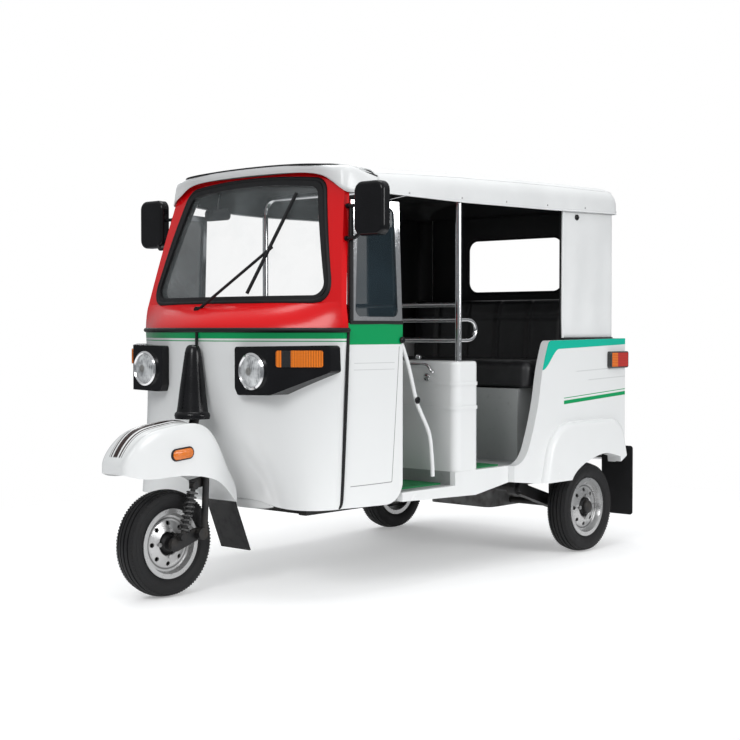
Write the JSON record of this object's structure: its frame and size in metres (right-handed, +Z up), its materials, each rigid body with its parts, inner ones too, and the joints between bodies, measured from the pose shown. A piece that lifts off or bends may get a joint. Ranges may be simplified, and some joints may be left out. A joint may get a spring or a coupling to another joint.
{
  "type": "passenger three-wheel auto rickshaw",
  "caption": "Passenger three-wheel auto rickshaw with a lofted nose, steered front wheel, open doorways, bench seat, soft canopy and hinged engine lid.",
  "frame": {"origin": "on the ground under the middle of the whole vehicle", "axes": "+Z up, -Y is forward, +X is the vehicle's left side"},
  "size_m": [1.416, 2.6404, 1.7269],
  "materials": {
    "white_paint": "gloss",
    "red_paint": "gloss",
    "black_rubber": "matte",
    "clear_glass": "clear",
    "black_plastic": "satin",
    "chrome": "polished",
    "grey_panel": "satin",
    "green_mat": "matte",
    "black_vinyl": "satin",
    "white_canvas": "coated cloth",
    "amber_lens": "clear",
    "red_lens": "clear",
    "lamp_glass": "clear",
    "tyre": "matte",
    "rim_silver": "silver",
    "dark_metal": "satin",
    "cast_metal": "cast"
  },
  "bodies": {
    "body": {"bench_back": "black_vinyl", "bench_base": "grey_panel", "bench_cushion": "black_vinyl", "canopy": "white_canvas", "chassis": "dark_metal", "column_cone": "black_rubber", "cowl_side_left": "white_paint", "cowl_side_right": "white_paint", "curtain_left": "white_canvas", "curtain_rear": "white_canvas", "curtain_right": "white_canvas", "dash_shelf": "black_plastic", "drive_shafts": "dark_metal", "driver_seat": "black_vinyl", "driver_seat_base": "grey_panel", "engine_block": "cast_metal", "floor_mats": "green_mat", "floor_pan": "grey_panel", "front_cap": "white_paint", "front_indicators": "amber_lens", "grab_rails": "chrome", "headlamps": "lamp_glass", "lamp_pods": "black_plastic", "mirror_left": "black_plastic", "mirror_right": "black_plastic", "nose_panel": "white_paint", "partition_box": "white_paint", "quarter_frame_left": "chrome", "quarter_frame_right": "chrome", "quarter_glass_left": "clear_glass", "quarter_glass_right": "clear_glass", "rear_arm_left": "dark_metal", "rear_arm_right": "dark_metal", "rear_bumper": "chrome", "rear_dampers": "dark_metal", "rear_mudflaps": "black_rubber", "rear_quarter_left": "white_paint", "rear_quarter_right": "white_paint", "side_sill_left": "white_paint", "side_sill_right": "white_paint", "tail_lamps": "red_lens", "tail_panel": "white_paint", "windscreen_frame": "red_paint", "windscreen_glass": "clear_glass", "windscreen_seal": "black_rubber", "wiper": "black_rubber"},
    "steering": {"steering_column": "dark_metal", "fork": "dark_metal", "front_arm": "dark_metal", "front_damper": "dark_metal", "front_fender": "white_paint", "fender_markers": "amber_lens", "front_mudflap": "black_rubber"},
    "front_wheel": {"tyre_front": "tyre", "rim_front": "rim_silver"},
    "rear_left_wheel": {"tyre_rear_left": "tyre", "rim_rear_left": "rim_silver"},
    "rear_right_wheel": {"tyre_rear_right": "tyre", "rim_rear_right": "rim_silver"},
    "engine_lid": {"engine_lid": "white_paint"}
  },
  "joints": [
    {"name": "steering", "type": "hinge", "parent": "body", "child": "steering", "pos_m": [0, -0.883, 0.8], "axis": [0, 0.2756, 0.9613], "range_deg": [-35, 35]},
    {"name": "front_wheel_spin", "type": "hinge", "parent": "steering", "child": "front_wheel", "pos_m": [0, -1.075, 0.205], "axis": [1, 0, 0], "continuous": true},
    {"name": "rear_left_wheel_spin", "type": "hinge", "parent": "body", "child": "rear_left_wheel", "pos_m": [0.575, 0.925, 0.205], "axis": [1, 0, 0], "continuous": true},
    {"name": "rear_right_wheel_spin", "type": "hinge", "parent": "body", "child": "rear_right_wheel", "pos_m": [-0.575, 0.925, 0.205], "axis": [1, 0, 0], "continuous": true},
    {"name": "engine_lid", "type": "hinge", "parent": "body", "child": "engine_lid", "pos_m": [0, 1.2593, 0.82], "axis": [1, 0, 0], "range_deg": [0, 70]}
  ]
}
